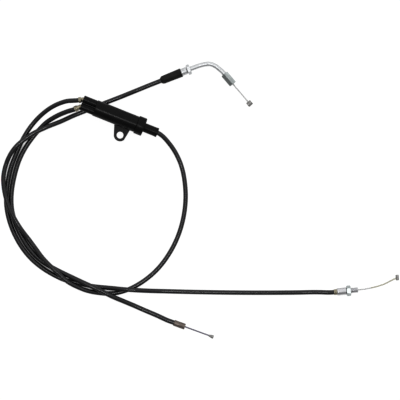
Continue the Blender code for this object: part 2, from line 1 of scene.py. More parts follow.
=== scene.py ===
"""Looks of a two-stroke motorcycle's throttle cable set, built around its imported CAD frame.

World points are in metres, in the row frame. Outlines of turned pieces are in millimetres, in the frame of
their fitting: the position along its axis, the radius, and where a corner is rounded the radius of that.
"""
import json
import math

import bmesh
import bpy
from mathutils import Matrix, Vector


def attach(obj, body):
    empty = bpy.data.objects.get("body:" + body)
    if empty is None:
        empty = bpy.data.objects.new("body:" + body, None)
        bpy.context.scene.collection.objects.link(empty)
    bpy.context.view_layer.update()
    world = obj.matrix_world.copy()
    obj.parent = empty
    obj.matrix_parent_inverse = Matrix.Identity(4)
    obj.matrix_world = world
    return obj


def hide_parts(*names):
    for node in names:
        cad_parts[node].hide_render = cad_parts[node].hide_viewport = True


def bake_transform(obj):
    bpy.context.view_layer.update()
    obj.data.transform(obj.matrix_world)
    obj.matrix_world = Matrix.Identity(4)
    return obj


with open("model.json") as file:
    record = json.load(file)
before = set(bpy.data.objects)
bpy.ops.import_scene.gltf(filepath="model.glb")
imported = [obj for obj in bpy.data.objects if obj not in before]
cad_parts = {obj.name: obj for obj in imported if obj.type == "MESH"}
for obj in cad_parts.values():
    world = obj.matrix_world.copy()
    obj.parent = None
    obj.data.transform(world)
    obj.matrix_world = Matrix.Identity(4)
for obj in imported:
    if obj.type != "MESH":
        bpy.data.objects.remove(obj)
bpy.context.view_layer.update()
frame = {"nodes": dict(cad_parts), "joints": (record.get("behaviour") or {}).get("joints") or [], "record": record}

MM = 0.001
UP = Vector((0, 0, 1))
SCENE = bpy.context.scene

# Sizes shared with the CAD, in millimetres
SHEATH_RADIUS = 2.5           # throttle and pump sheaths
CARB_SHEATH_RADIUS = 2.6
WIRE_RADIUS = 0.75
WIRE_HOLE = 1.1               # radius of the hole that a wire runs through
PORT_OFFSET = 4.15            # from the box's axis to each port's
THREAD_RADIUS = 3.0           # M6
THREAD_PITCH = 1.0
THREAD_DEPTH = 0.5
UNION_LENGTH = 14.5
NUT_ACROSS_FLATS = 10.0
UNION_ACROSS_FLATS = 8.0
UNION_TURN = 35.0             # degrees from a flat at the top
EYE_CENTRE = (52.1, -17.6)    # in the box's frame
EYE_RADIUS = 6.8              # of the lug's round end
EYE_HOLE_RADIUS = 3.85
CARB_NIPPLE_END = 33.4        # from the carburettor ferrule's face
ON_AXIS = 0.001               # radii and differences under this are none

# Routes of the sheaths, in metres, from end to end
THROTTLE_ROUTE = [
    (-0.0974, 0.0777, 0.0096), (-0.0927, 0.0758, 0.0093), (-0.0867, 0.0734, 0.0088),
    (-0.0737, 0.0608, 0.0056), (-0.0636, 0.0434, 0.0032), (-0.0569, 0.0110, 0.0026),
    (-0.0684, -0.0473, 0.0026), (-0.0914, -0.0798, 0.0026), (-0.1152, -0.0964, 0.0026),
    (-0.1218, -0.0993, 0.0026), (-0.1432, -0.1031, 0.0026), (-0.1504, -0.1025, 0.0028),
    (-0.1647, -0.0998, 0.0052), (-0.1735, -0.0965, 0.0063), (-0.1878, -0.0886, 0.0080),
    (-0.1933, -0.0836, 0.0080), (-0.2144, -0.0631, 0.0070), (-0.2237, -0.0508, 0.0040),
    (-0.2287, -0.0441, 0.0040), (-0.2385, -0.0308, 0.0072), (-0.2519, -0.0050, 0.0079),
    (-0.2567, 0.0160, 0.0070), (-0.2572, 0.0237, 0.0056), (-0.2545, 0.0387, 0.0044),
    (-0.2514, 0.0464, 0.0059), (-0.2409, 0.0609, 0.0079), (-0.2336, 0.0667, 0.0079),
    (-0.2257, 0.0722, 0.0079), (-0.2114, 0.0792, 0.0082), (-0.1927, 0.0870, 0.0046),
    (-0.1817, 0.0922, 0.0031), (-0.1680, 0.0978, 0.0026), (-0.1443, 0.1073, 0.0026),
    (-0.1311, 0.1124, 0.0026), (-0.1069, 0.1220, 0.0050), (-0.0958, 0.1265, 0.0050),
    (-0.0846, 0.1309, 0.0050), (-0.0735, 0.1354, 0.0050), (-0.0651, 0.1387, 0.0050),
]
PUMP_ROUTE = [
    (-0.1723, 0.1096, 0.0152), (-0.1748, 0.1092, 0.0150),
    (-0.1801, 0.1089, 0.0141), (-0.1856, 0.1086, 0.0131), (-0.1944, 0.1063, 0.0107),
    (-0.2263, 0.0821, 0.0027), (-0.2318, 0.0742, 0.0026), (-0.2442, 0.0490, 0.0026),
    (-0.2476, 0.0402, 0.0026), (-0.2522, 0.0220, 0.0026), (-0.2541, -0.0055, 0.0026),
    (-0.2265, -0.0649, 0.0026), (-0.1993, -0.0839, 0.0026), (-0.1900, -0.0880, 0.0026),
    (-0.1795, -0.0902, 0.0026), (-0.1685, -0.0931, 0.0026), (-0.1592, -0.0949, 0.0026),
    (-0.1438, -0.0965, 0.0031), (-0.1361, -0.0971, 0.0050), (-0.1289, -0.0978, 0.0070),
    (-0.1135, -0.0990, 0.0076), (-0.1036, -0.0996, 0.0056), (-0.0926, -0.1001, 0.0036),
    (-0.0783, -0.1005, 0.0026), (-0.0464, -0.1013, 0.0026), (0.0504, -0.1020, 0.0026),
    (0.0691, -0.1018, 0.0026), (0.0812, -0.1015, 0.0031), (0.0927, -0.1015, 0.0044),
    (0.0985, -0.1017, 0.0049), (0.1043, -0.1016, 0.0050), (0.1068, -0.1014, 0.0050),
    (0.1159, -0.1005, 0.0050),
]
CARB_ROUTE = [
    (-0.1762, 0.1003, 0.0149), (-0.1788, 0.0992, 0.0146),
    (-0.1845, 0.0976, 0.0129), (-0.1988, 0.0920, 0.0080), (-0.2114, 0.0840, 0.0035),
    (-0.2166, 0.0789, 0.0026), (-0.2213, 0.0737, 0.0026), (-0.2385, 0.0473, 0.0026),
    (-0.2443, 0.0303, 0.0026), (-0.2475, -0.0134, 0.0026), (-0.2426, -0.0292, 0.0026),
    (-0.2145, -0.0676, 0.0026), (-0.2065, -0.0727, 0.0026), (-0.1982, -0.0772, 0.0028),
    (-0.1900, -0.0812, 0.0042), (-0.1817, -0.0850, 0.0064), (-0.1729, -0.0891, 0.0077),
    (-0.1542, -0.0977, 0.0081), (-0.1443, -0.1026, 0.0081), (-0.1350, -0.1071, 0.0070),
    (-0.1256, -0.1111, 0.0049), (-0.1146, -0.1158, 0.0032), (-0.1014, -0.1216, 0.0027),
    (-0.0882, -0.1272, 0.0028), (-0.0763, -0.1326, 0.0033), (-0.0697, -0.1350, 0.0033),
    (-0.0629, -0.1375, 0.0033),
]
PIPE_ROUTE = [
    (-0.0464, 0.1461, 0.0050), (-0.0409, 0.1480, 0.0050), (-0.0354, 0.1493, 0.0050),
    (-0.0299, 0.1496, 0.0050), (-0.0244, 0.1476, 0.0050), (-0.0196, 0.1440, 0.0050),
]
PUMP_WIRE_ROUTE = [
    (0.1395, -0.0981, 0.0050), (0.1472, -0.0967, 0.0050), (0.1549, -0.0948, 0.0050),
    (0.1626, -0.0921, 0.0050), (0.1681, -0.0893, 0.0050),
]
PUMP_NIPPLE_CENTRE = Vector((0.1761, -0.0853, 0.0050))
PUMP_NIPPLE_HEADING = 5.0     # degrees; its axis is level and square to this


# Frames of the fittings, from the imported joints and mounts

def axis_frame(origin, axis):
    """A frame with X along an axis, Y level and Z as near to up as can be."""
    along = Vector(axis).normalized()
    side = UP.cross(along).normalized()
    turn = Matrix((along, side, along.cross(side))).transposed()
    return Matrix.Translation(origin) @ turn.to_4x4()


JOINTS = {joint["name"]: joint for joint in frame["joints"]}
MOUNTS = {mount["name"]: mount for mount in frame["record"]["mounts"]}


def hinge_frame(name):
    return axis_frame(JOINTS[name]["pos_m"], JOINTS[name]["axis"])


BOX = hinge_frame("cap_turn")
THROTTLE = hinge_frame("barrel_turn")
UNION = hinge_frame("union_nut_turn")
PUMP = hinge_frame("pump_adjuster_turn")
CARB = axis_frame(Vector(MOUNTS["carb_nipple_face"]["pos_m"])
                  - Vector(MOUNTS["carb_nipple_face"]["axis"]) * CARB_NIPPLE_END * MM,
                  MOUNTS["carb_nipple_face"]["axis"])
# The port ferrules' frames: the centre of the ball end in the port, and the way that its sheath leaves
PUMP_PORT = axis_frame((-0.1689, 0.1101, 0.0154), (-0.98595, -0.156159, -0.059306))
CARB_PORT = axis_frame((-0.1719, 0.1022, 0.0154), (-0.911135, -0.39996, -0.09932))


# Procedural materials

class Shader:
    """A material's nodes, with the helpers that its pattern needs. Lengths in patterns are millimetres."""

    def __init__(self, name, metallic=0.0):
        self.material = bpy.data.materials.new(name)
        self.material.use_nodes = True
        self.tree = self.material.node_tree
        self.surface = self.tree.nodes["Principled BSDF"]
        self.surface.inputs["Metallic"].default_value = metallic
        self.place = self.node("ShaderNodeTexCoord").outputs["Object"]

    def node(self, kind, inputs=None, **settings):
        made = self.tree.nodes.new(kind)
        for key, value in settings.items():
            setattr(made, key, value)
        for key, value in (inputs or {}).items():
            self.put(value, made.inputs[key])
        return made

    def put(self, value, socket):
        if isinstance(value, bpy.types.NodeSocket):
            self.tree.links.new(value, socket)
        else:
            socket.default_value = value

    def noise(self, size, detail=3.0, stretch=(1, 1, 1), roughness=0.55):
        """Noise from 0 to 1 whose blotches are about size millimetres across."""
        mapped = self.node("ShaderNodeMapping", {"Vector": self.place, "Scale": stretch})
        pattern = self.node("ShaderNodeTexNoise", {
            "Vector": mapped.outputs["Vector"], "Scale": 1 / (size * MM), "Detail": detail,
            "Roughness": roughness})
        return pattern.outputs["Fac"]

    def cells(self, size):
        """Distance from the middle of cells about size millimetres across."""
        pattern = self.node("ShaderNodeTexVoronoi", {"Vector": self.place, "Scale": 1 / (size * MM)})
        return pattern.outputs["Distance"]

    def ramp(self, factor, low, high, to_low=0.0, to_high=1.0):
        """The factor's stretch from low to high, spread from to_low to to_high."""
        mapped = self.node("ShaderNodeMapRange", {
            "Value": factor, "From Min": low, "From Max": high, "To Min": to_low, "To Max": to_high})
        return mapped.outputs["Result"]

    def mix(self, factor, first, second):
        mixed = self.node("ShaderNodeMix", data_type="RGBA")
        for value, socket in ((factor, mixed.inputs[0]), (first, mixed.inputs[6]),
                              (second, mixed.inputs[7])):
            self.put(value if isinstance(value, (bpy.types.NodeSocket, float)) else (*value, 1.0), socket)
        return mixed.outputs[2]

    def maths(self, operation, first, second):
        return self.node("ShaderNodeMath", {0: first, 1: second}, operation=operation).outputs[0]

    def edges(self, low=0.52, high=0.62):
        """1 on outside edges and 0 on flat places."""
        return self.ramp(self.node("ShaderNodeNewGeometry").outputs["Pointiness"], low, high)

    def bump(self, height, depth):
        """Relief whose full height is depth millimetres."""
        raised = self.node("ShaderNodeBump", {"Height": height, "Distance": depth * MM, "Strength": 1.0})
        self.put(raised.outputs["Normal"], self.surface.inputs["Normal"])

    def finish(self, colour, roughness):
        self.put(colour, self.surface.inputs["Base Color"])
        self.put(roughness, self.surface.inputs["Roughness"])
        return self.material


def moulded_black():
    """Black nylon from a fine spark-eroded mould: dull grain, faint flow marks, and a painted highlight on outside
    edges.
    """
    s = Shader("look_moulded_black")
    flow = s.noise(9.0, 2.0, (1.0, 2.5, 1.0))
    grain = s.noise(0.35, 2.0)
    colour = s.mix(s.ramp(flow, 0.35, 0.7), (0.0085, 0.0085, 0.0090), (0.0130, 0.0130, 0.0130))
    # Painted highlight: outside edges get a lighter colour, as if they caught the light.
    colour = s.mix(s.edges(), colour, (0.026, 0.026, 0.026))
    rough = s.ramp(s.noise(2.2), 0.3, 0.75, 0.24, 0.34)
    s.bump(grain, 0.004)
    s.put(0.32, s.surface.inputs["Specular IOR Level"])
    return s.finish(colour, rough)


def extruded_pvc():
    """Black PVC sheath: smooth from the die, with faint ripples, dull scuffs and a little dust."""
    s = Shader("look_extruded_pvc")
    scuffs = s.ramp(s.noise(1.6, 5.0, roughness=0.7), 0.56, 0.72)
    dust = s.ramp(s.noise(0.5, 3.0), 0.62, 0.8, 0.0, 0.2)
    colour = s.mix(scuffs, (0.0120, 0.0120, 0.0145), (0.0190, 0.0186, 0.0212))
    colour = s.mix(dust, colour, (0.040, 0.039, 0.038))
    rough = s.ramp(scuffs, 0.0, 1.0, 0.22, 0.30)
    ripples = s.ramp(s.noise(5.0, 2.0), 0.3, 0.7)
    grain = s.ramp(s.noise(0.6, 2.0), 0.3, 0.7, 0.0, 0.2)
    s.bump(s.maths("ADD", ripples, grain), 0.012)
    s.put(0.90, s.surface.inputs["Specular IOR Level"])
    return s.finish(colour, rough)


def rubber_black():
    """Moulded nitrile rubber: matt, with a warm bloom and a fine pebble."""
    s = Shader("look_rubber")
    bloom = s.ramp(s.noise(4.0, 4.0), 0.4, 0.7)
    colour = s.mix(bloom, (0.0165, 0.0163, 0.0145), (0.0310, 0.0305, 0.0270))
    rough = s.ramp(s.noise(1.0), 0.3, 0.7, 0.50, 0.70)
    s.bump(s.noise(0.25, 2.0), 0.02)
    return s.finish(colour, rough)


def plated(name, pale, dark, low, high, blotch=2.5, brushed=(1, 1, 1)):
    """Electroplated metal: cloudy tone, fine tumbling marks, and outside edges brightened by a painted highlight.
    """
    s = Shader(name, 1.0)
    cloud = s.ramp(s.noise(blotch, 4.0), 0.32, 0.7)
    marks = s.noise(0.25, 3.0, brushed)
    colour = s.mix(cloud, pale, dark)
    # Painted highlight: outside edges get a brighter colour, as if they caught the light.
    painted_edge_highlight = tuple(min(1.0, value * 1.18) for value in pale)
    colour = s.mix(s.edges(0.53, 0.66), colour, painted_edge_highlight)
    rough = s.maths("ADD", s.ramp(cloud, 0.0, 1.0, low, high), s.ramp(marks, 0.3, 0.7, -0.04, 0.04))
    s.bump(marks, 0.002)
    return s.finish(colour, rough)


def cast_zinc():
    """Die-cast nipples: grey and grainy, with darker pits."""
    s = Shader("look_cast_zinc", 1.0)
    pits = s.ramp(s.cells(0.35), 0.05, 0.3)
    colour = s.mix(pits, (0.20, 0.195, 0.19), (0.46, 0.455, 0.45))
    colour = s.mix(s.ramp(s.noise(1.2, 3.0), 0.45, 0.75), colour, (0.36, 0.355, 0.335))
    rough = s.ramp(s.noise(0.5), 0.3, 0.7, 0.38, 0.58)
    s.bump(s.noise(0.3, 3.0), 0.03)
    return s.finish(colour, rough)


def nylon_white():
    """Natural nylon of the slider."""
    s = Shader("look_nylon")
    colour = s.mix(s.ramp(s.noise(3.0), 0.3, 0.7), (0.62, 0.61, 0.55), (0.72, 0.71, 0.66))
    s.surface.inputs["Subsurface Weight"].default_value = 0.1
    s.surface.inputs["Subsurface Scale"].default_value = 0.5 * MM
    s.bump(s.noise(0.4), 0.01)
    return s.finish(colour, s.ramp(s.noise(1.0), 0.3, 0.7, 0.38, 0.5))


LOOKS = {
    "black_plastic": moulded_black(),
    "sheath_black": extruded_pvc(),
    "rubber": rubber_black(),
    "bright_zinc": plated("look_bright_zinc", (0.78, 0.79, 0.80), (0.70, 0.71, 0.72), 0.38, 0.48),
    "polished_zinc": plated("look_polished_zinc", (0.74, 0.74, 0.755), (0.66, 0.66, 0.675), 0.14, 0.22),
    "grey_zinc": plated("look_grey_zinc", (0.52, 0.55, 0.55), (0.44, 0.47, 0.47), 0.28, 0.38),
    "cream_zinc": plated("look_cream_zinc", (0.50, 0.465, 0.37), (0.37, 0.345, 0.265), 0.24, 0.34),
    "brown_zinc": plated("look_brown_zinc", (0.33, 0.29, 0.265), (0.22, 0.195, 0.18), 0.34, 0.46),
    "wire_steel": plated("look_wire_steel", (0.72, 0.72, 0.72), (0.62, 0.62, 0.62), 0.40, 0.50, 1.2),
    "greased_steel": plated("look_greased_steel", (0.62, 0.61, 0.53), (0.52, 0.51, 0.44), 0.36, 0.46, 1.2),
    "blue_steel": plated("look_blue_steel", (0.32, 0.31, 0.365), (0.25, 0.24, 0.295), 0.36, 0.46, 1.2),
    "cast_zinc": cast_zinc(),
    "white_nylon": nylon_white(),
}


# Making pieces

def link(name, data):
    made = bpy.data.objects.new(name, data)
    SCENE.collection.objects.link(made)
    return made


def clean(mesh, sharp=32):
    """Weld the mesh, turn its faces outwards, and shade it smooth up to that angle between faces."""
    work = bmesh.new()
    work.from_mesh(mesh)
    bmesh.ops.remove_doubles(work, verts=work.verts, dist=0.00001 * MM)
    bmesh.ops.recalc_face_normals(work, faces=work.faces)
    work.to_mesh(mesh)
    work.free()
    mesh.shade_smooth()
    mesh.set_sharp_from_angle(angle=math.radians(sharp))


def solid(name, points, faces, place, sharp=32):
    """An object from points in millimetres in the frame of a fitting."""
    mesh = bpy.data.meshes.new(name)
    mesh.from_pydata([place @ (Vector(point) * MM) for point in points], [], faces)
    clean(mesh, sharp)
    return link(name, mesh)


def evaluated_mesh(piece, sharp=32):
    """The mesh of an object as its modifiers, or its curve's bevel, make it."""
    bpy.context.view_layer.update()
    mesh = bpy.data.meshes.new_from_object(piece.evaluated_get(bpy.context.evaluated_depsgraph_get()))
    clean(mesh, sharp)
    return mesh


def applied(piece):
    """The piece with its modifiers made real."""
    mesh = evaluated_mesh(piece)
    piece.modifiers.clear()
    piece.data = mesh
    return piece


def boolean(target, operation, tool):
    """Join the tool to the target, cut it out, or keep what both hold. The tool is used up."""
    change = target.modifiers.new(operation.lower(), "BOOLEAN")
    change.operation = operation
    change.solver = "EXACT"
    change.object = tool
    applied(target)
    bpy.data.objects.remove(tool, do_unlink=True)


def flat_shaded(piece):
    """Keep the flat faces flat in shading, so that only their rounded edges catch the light."""
    weighted = piece.modifiers.new("flat", "WEIGHTED_NORMAL")
    weighted.keep_sharp = True
    weighted.weight = 100
    return piece


def bevelled(piece, width, segments=2, angle=35):
    """The piece with a small round on its sharp edges, in millimetres."""
    bevel = piece.modifiers.new("bevel", "BEVEL")
    bevel.width = width * MM
    bevel.segments = segments
    bevel.limit_method = "ANGLE"
    bevel.angle_limit = math.radians(angle)
    return applied(piece)


def rounded(outline, closed, steps=5):
    """The outline with an arc at each corner that states a radius."""
    result = []
    for i, corner in enumerate(outline):
        here = Vector(corner[:2])
        if len(corner) < 3 or not closed and i in (0, len(outline) - 1):
            result.append((here.x, here.y))
            continue
        before = (Vector(outline[i - 1][:2]) - here).normalized()
        after = (Vector(outline[(i + 1) % len(outline)][:2]) - here).normalized()
        half = before.angle(after) / 2
        centre = here + (before + after).normalized() * corner[2] / math.sin(half)
        first = here + before * corner[2] / math.tan(half) - centre
        last = here + after * corner[2] / math.tan(half) - centre
        for k in range(steps + 1):
            spoke = first.slerp(last, k / steps) * corner[2]
            result.append((centre.x + spoke.x, centre.y + spoke.y))
    return result


def turned(name, outline, place, closed=True, steps=64, across=0.0, thread=None, sharp=32):
    """Turn an outline about the frame's X axis, or about one beside it, across millimetres to the side.

    A thread is (start, end) of the stretch that gets one.
    """
    profile = rounded(outline, closed)
    if thread:
        profile = with_thread_points(profile, thread)
    points, rings = [], []
    for position, radius in profile:
        if radius < ON_AXIS:
            rings.append([len(points)] * steps)
            points.append((position, across, 0.0))
            continue
        rings.append(list(range(len(points), len(points) + steps)))
        for k in range(steps):
            angle = 2 * math.pi * k / steps
            reach = radius - thread_groove(position, radius, k / steps, thread)
            points.append((position, across + reach * math.cos(angle), reach * math.sin(angle)))
    pairs = list(zip(rings, rings[1:])) + ([(rings[-1], rings[0])] if closed else [])
    faces = []
    for first, second in pairs:
        for k in range(steps):
            corners = [first[k], first[(k + 1) % steps], second[(k + 1) % steps], second[k]]
            face = list(dict.fromkeys(corners))
            if len(face) > 2:
                faces.append(face)
    return solid(name, points, faces, place, sharp)


def with_thread_points(profile, thread):
    """The profile with points close enough together for the thread's ridges."""
    result = []
    low, high = thread
    for first, second in zip(profile, profile[1:] + profile[:1]):
        result.append(first)
        if abs(first[1] - THREAD_RADIUS) < ON_AXIS and abs(second[1] - THREAD_RADIUS) < ON_AXIS:
            count = int(abs(second[0] - first[0]) / THREAD_PITCH * 10)
            for k in range(1, count):
                position = first[0] + (second[0] - first[0]) * k / count
                if low < position < high:
                    result.append((position, first[1]))
    return result


def thread_groove(position, radius, turn, thread):
    """Depth of a helical thread's groove at a place, fading out at the thread's two ends."""
    if not thread or abs(radius - THREAD_RADIUS) > ON_AXIS or not thread[0] < position < thread[1]:
        return 0.0
    phase = (position / THREAD_PITCH - turn) % 1.0
    groove = THREAD_DEPTH * min(1.0, 1.25 * (1 - abs(2 * phase - 1)))
    fade = min(position - thread[0], thread[1] - position) / THREAD_PITCH
    return groove * min(1.0, fade)


def hexagon_nut(name, start, end, across_flats, bore, place, chamfer=0.8):
    """A hexagonal nut with both its corners turned down, and a bore outline cut through it."""
    corner = across_flats / math.sqrt(3)
    nut = turned(name, [(end, 0.0), (end, corner), (start, corner), (start, 0.0)], place, False, 6, sharp=20)
    turn_down = corner + 0.6
    blank = turned(name + "_blank", [
        (end + 0.01, 0.0), (end + 0.01, across_flats / 2 - 0.1), (end - chamfer, turn_down),
        (start + chamfer, turn_down), (start - 0.01, across_flats / 2 - 0.1), (start - 0.01, 0.0),
    ], place, False, 72)
    boolean(nut, "INTERSECT", blank)
    boolean(nut, "DIFFERENCE", turned(name + "_bore", bore, place, False, 48))
    return flat_shaded(bevelled(nut, 0.12))


def hermite(start, end, start_slope, end_slope, share):
    """Point of a cubic curve between two points with given slopes."""
    square, cube = share ** 2, share ** 3
    return (start * (2 * cube - 3 * square + 1) + start_slope * (cube - 2 * square + share)
            + end * (3 * square - 2 * cube) + end_slope * (cube - square))


def slopes_of(points):
    """Direction of the smooth curve at each route point, level where its height turns back."""
    spans = [(after - before).length for before, after in zip(points, points[1:])]
    slopes = [(points[1] - points[0]) / spans[0]]
    for i in range(1, len(points) - 1):
        before = (points[i] - points[i - 1]) / spans[i - 1]
        after = (points[i + 1] - points[i]) / spans[i]
        slope = (before * spans[i] + after * spans[i - 1]) / (spans[i] + spans[i - 1])
        if before.z * after.z <= 0:
            slope.z = 0.0
        slopes.append(slope)
    slopes.append((points[-1] - points[-2]) / spans[-1])
    return spans, slopes


def smooth_path(route, step):
    """Evenly close points, in metres, of the smooth curve through a route."""
    points = [Vector(point) for point in route]
    spans, slopes = slopes_of(points)
    path = []
    for i, span in enumerate(spans):
        count = max(1, round(span / (step * MM)))
        for k in range(count):
            path.append(hermite(points[i], points[i + 1], slopes[i] * span, slopes[i + 1] * span, k / count))
    return path + [points[-1]]


def sheath_curve(name, route, radius):
    """A sheath as one smooth spline through its route."""
    points = [Vector(point) for point in route]
    spans, slopes = slopes_of(points)
    line = bpy.data.curves.new(name, "CURVE")
    line.dimensions = "3D"
    line.resolution_u = 14
    line.bevel_depth = radius * MM
    line.bevel_resolution = 6
    line.use_fill_caps = True
    spline = line.splines.new("BEZIER")
    spline.bezier_points.add(len(points) - 1)
    for i, knot in enumerate(spline.bezier_points):
        knot.handle_left_type = knot.handle_right_type = "FREE"
        knot.co = points[i]
        knot.handle_left = points[i] - slopes[i] * spans[max(i - 1, 0)] / 3
        knot.handle_right = points[i] + slopes[i] * spans[min(i, len(spans) - 1)] / 3
    return link(name, line)


def as_mesh(curve):
    """The curve object as a mesh object of the same name, with its caps welded on."""
    mesh = evaluated_mesh(curve, sharp=40)
    name = curve.name
    bpy.data.objects.remove(curve, do_unlink=True)
    return link(name, mesh)


def swept(name, path, radius, sides=24, centre=None):
    """A closed tube of a radius in millimetres along a level path in metres.

    centre gives, for the distance along the path in millimetres, the tube's offset to the side and up.
    """
    points, rings = [], []
    travelled = 0.0
    for i, here in enumerate(path):
        tangent = (path[min(i + 1, len(path) - 1)] - path[max(i - 1, 0)]).normalized()
        side = UP.cross(tangent).normalized()
        over = tangent.cross(side)
        travelled += (here - path[i - 1]).length / MM if i else 0.0
        sideways, upwards = centre(travelled) if centre else (0.0, 0.0)
        middle = here / MM + side * sideways + over * upwards
        rings.append(range(len(points), len(points) + sides))
        for k in range(sides):
            angle = 2 * math.pi * k / sides
            points.append(middle + (side * math.cos(angle) + over * math.sin(angle)) * radius)
    faces = [list(rings[0]), list(rings[-1])]
    for first, second in zip(rings, rings[1:]):
        for k in range(sides):
            faces.append([first[k], first[(k + 1) % sides], second[(k + 1) % sides], second[k]])
    return solid(name, points, faces, Matrix(), sharp=40)


def joined(name, pieces):
    """One object of several separate shells."""
    work = bmesh.new()
    for piece in pieces:
        work.from_mesh(piece.data)
        bpy.data.objects.remove(piece, do_unlink=True)
    mesh = bpy.data.meshes.new(name)
    work.to_mesh(mesh)
    work.free()
    mesh.shade_smooth()
    mesh.set_sharp_from_angle(angle=math.radians(32))
    return link(name, mesh)


STRANDS = 12
STRAND_LAY = 9.0              # millimetres for one turn of a strand


def stranded_wire(name, path):
    """An inner wire of twisted strands round a core, along a path in metres."""
    strand = WIRE_RADIUS * math.sin(math.pi / STRANDS) / (1 + math.sin(math.pi / STRANDS))
    orbit = WIRE_RADIUS - strand

    def orbiting(first_turn):
        def centre(travelled):
            angle = 2 * math.pi * (travelled / STRAND_LAY + first_turn)
            return orbit * math.cos(angle), orbit * math.sin(angle)
        return centre

    shells = [swept(name + "_core", path, orbit, sides=12)]
    for k in range(STRANDS):
        shells.append(swept(f"{name}_strand_{k}", path, strand * 1.03, sides=6, centre=orbiting(k / STRANDS)))
    return joined(name, shells)


def straight_path(place, start, end, step=0.5):
    count = max(2, round((end - start) / step))
    return [place @ Vector(((start + (end - start) * i / count) * MM, 0, 0)) for i in range(count + 1)]


def stand_for(piece, body, look, *nodes, slot=None):
    """Give a piece its look and its body, and hide the CAD nodes that it stands for."""
    piece.data.materials.clear()
    piece.data.materials.append(LOOKS[look])
    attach(piece, body)
    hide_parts(*nodes)
    return piece


# Camera, light and floor

VIEW_CENTRE = Vector((-0.0409, 0.0, 0.005))
VIEW_WIDTH = 0.440
LENS = 200.0
SENSOR = 36.0


def make_camera():
    data = bpy.data.cameras.new("camera")
    data.lens = LENS
    data.sensor_width = SENSOR
    data.clip_end = 30.0
    camera = link("camera", data)
    camera.location = VIEW_CENTRE + UP * VIEW_WIDTH * LENS / SENSOR
    SCENE.camera = camera


def soft_light(name, azimuth, elevation, distance, size, power):
    """An area light that faces the middle of the object. Azimuth is from -Y towards +X, in degrees."""
    data = bpy.data.lights.new(name, "AREA")
    data.shape = "RECTANGLE"
    data.size, data.size_y = size
    data.energy = power
    lamp = link(name, data)
    around, above = math.radians(azimuth), math.radians(elevation)
    direction = Vector((math.sin(around) * math.cos(above), -math.cos(around) * math.cos(above),
                        math.sin(above)))
    lamp.location = VIEW_CENTRE + direction * distance
    lamp.rotation_euler = direction.to_track_quat("Z", "Y").to_euler()
    lamp.visible_camera = False


def make_studio():
    """One small lamp almost overhead, and a dome that is brighter towards the back and the top."""
    soft_light("overhead", azimuth=-20, elevation=83.5, distance=2.4, size=(0.30, 0.16), power=5.5)
    world = bpy.data.worlds.new("studio")
    SCENE.world = world
    world.use_nodes = True
    tree = world.node_tree
    dome = tree.nodes["Background"]
    direction = tree.nodes.new("ShaderNodeTexCoord")
    towards_window = tree.nodes.new("ShaderNodeVectorMath")
    towards_window.operation = "DOT_PRODUCT"
    towards_window.inputs[1].default_value = Vector((0.2, 0.75, 0.65)).normalized()
    glow = tree.nodes.new("ShaderNodeMapRange")
    glow.interpolation_type = "SMOOTHSTEP"
    glow.inputs["From Min"].default_value = -0.2
    glow.inputs["To Min"].default_value = 0.38
    glow.inputs["To Max"].default_value = 1.05
    tree.links.new(direction.outputs["Generated"], towards_window.inputs[0])
    tree.links.new(towards_window.outputs["Value"], glow.inputs["Value"])
    tree.links.new(glow.outputs["Result"], dome.inputs["Strength"])
    dome.inputs["Color"].default_value = (1.0, 1.0, 1.0, 1.0)
    pale = tree.nodes.new("ShaderNodeBackground")
    pale.inputs["Color"].default_value = (1.0, 1.0, 1.0, 1.0)
    choice = tree.nodes.new("ShaderNodeMixShader")
    rays = tree.nodes.new("ShaderNodeLightPath")
    tree.links.new(rays.outputs["Is Camera Ray"], choice.inputs[0])
    tree.links.new(dome.outputs[0], choice.inputs[1])
    tree.links.new(pale.outputs[0], choice.inputs[2])
    tree.links.new(choice.outputs[0], tree.nodes["World Output"].inputs["Surface"])
    SCENE.view_settings.view_transform = "Standard"
    SCENE.view_settings.gamma = 0.65


def make_floor():
    """A burnt-out white floor that glows for camera rays. Close under the pieces, where an ambient occlusion node
    finds little open sky, the glow is dimmed: painted shade.
    """
    reach = 9.0
    floor = solid("floor", [(-reach / MM, -reach / MM, 0), (reach / MM, -reach / MM, 0),
                            (reach / MM, reach / MM, 0), (-reach / MM, reach / MM, 0)], [(0, 1, 2, 3)],
                  Matrix.Translation((0, 0, -0.02 * MM)))
    s = Shader("look_floor")
    s.finish(s.mix(s.noise(60.0), (0.78, 0.78, 0.78), (0.82, 0.82, 0.82)), 0.9)
    openness = s.node("ShaderNodeAmbientOcclusion", {"Distance": 6.0 * MM}).outputs["AO"]
    # Painted shade: the glow is dimmed where the pieces are close, under and between the cords.
    glow_with_painted_shade = s.node("ShaderNodeEmission", {"Strength": s.ramp(openness, 0.12, 0.42, 0.1, 1.15)})
    seen = s.ramp(s.node("ShaderNodeLightPath").outputs["Is Camera Ray"], 0.0, 1.0, 0.25, 0.8)
    both = s.node("ShaderNodeMixShader", {0: seen, 1: s.surface.outputs[0], 2: glow_with_painted_shade.outputs[0]})
    s.tree.links.new(both.outputs[0], s.tree.nodes["Material Output"].inputs["Surface"])
    floor.data.materials.append(s.material)


# Cords

def make_sheaths():
    """The three sheaths. Two have a blind hole in one end, where a wire's tail slides in."""
    routes = {"throttle": (THROTTLE_ROUTE, SHEATH_RADIUS), "pump": (PUMP_ROUTE, SHEATH_RADIUS),
              "carb": (CARB_ROUTE, CARB_SHEATH_RADIUS)}
    holes = {"throttle": (BOX, 77.9, 88.0), "carb": (CARB, -17.5, -4.8)}
    for name, (route, radius) in routes.items():
        sheath = as_mesh(sheath_curve(f"{name}_sheath_look", route, radius))
        if name in holes:
            place, start, end = holes[name]
            boolean(sheath, "DIFFERENCE", turned("hole", [
                (end, 0.0), (end, WIRE_HOLE), (start, WIRE_HOLE), (start, 0.0)], place, False, 24))
        stand_for(sheath, "casing", "sheath_black", f"{name}_sheath")
        smooth_path(route, 1.5)


# Junction box

